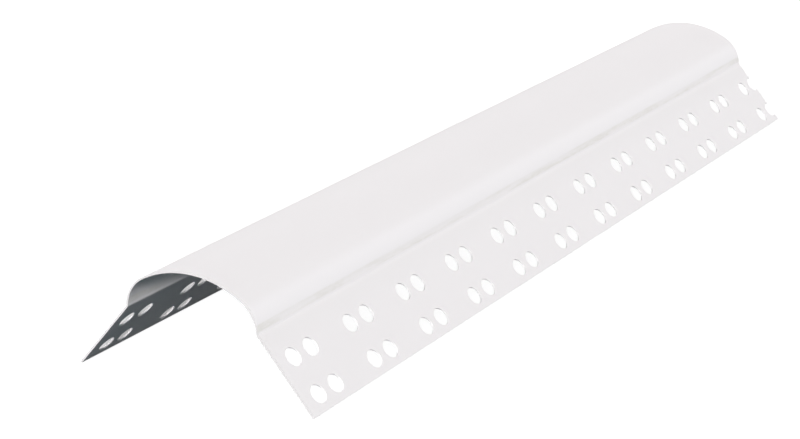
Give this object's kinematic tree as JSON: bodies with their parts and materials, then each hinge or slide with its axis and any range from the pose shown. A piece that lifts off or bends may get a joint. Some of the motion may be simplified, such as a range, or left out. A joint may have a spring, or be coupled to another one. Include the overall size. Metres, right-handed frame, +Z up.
{
  "type": "corner bead",
  "caption": "Bullnose corner bead: thin white vinyl trim with a wide rounded nose and splayed flanges punched with paired round holes, to finish an outside drywall corner.",
  "frame": {"origin": "on the floor under the middle of the bead, standing on its flange edges", "axes": "+X along the bead towards the end that cuts through holes, +Z up through the nose, +Y across from the near flange to the far flange"},
  "size_m": [0.3822, 0.091, 0.0393],
  "materials": {
    "white_vinyl": "extruded white PVC, satin, with faint lines along its length"
  },
  "bodies": {
    "root": {"corner_bead": "white_vinyl"}
  },
  "joints": []
}
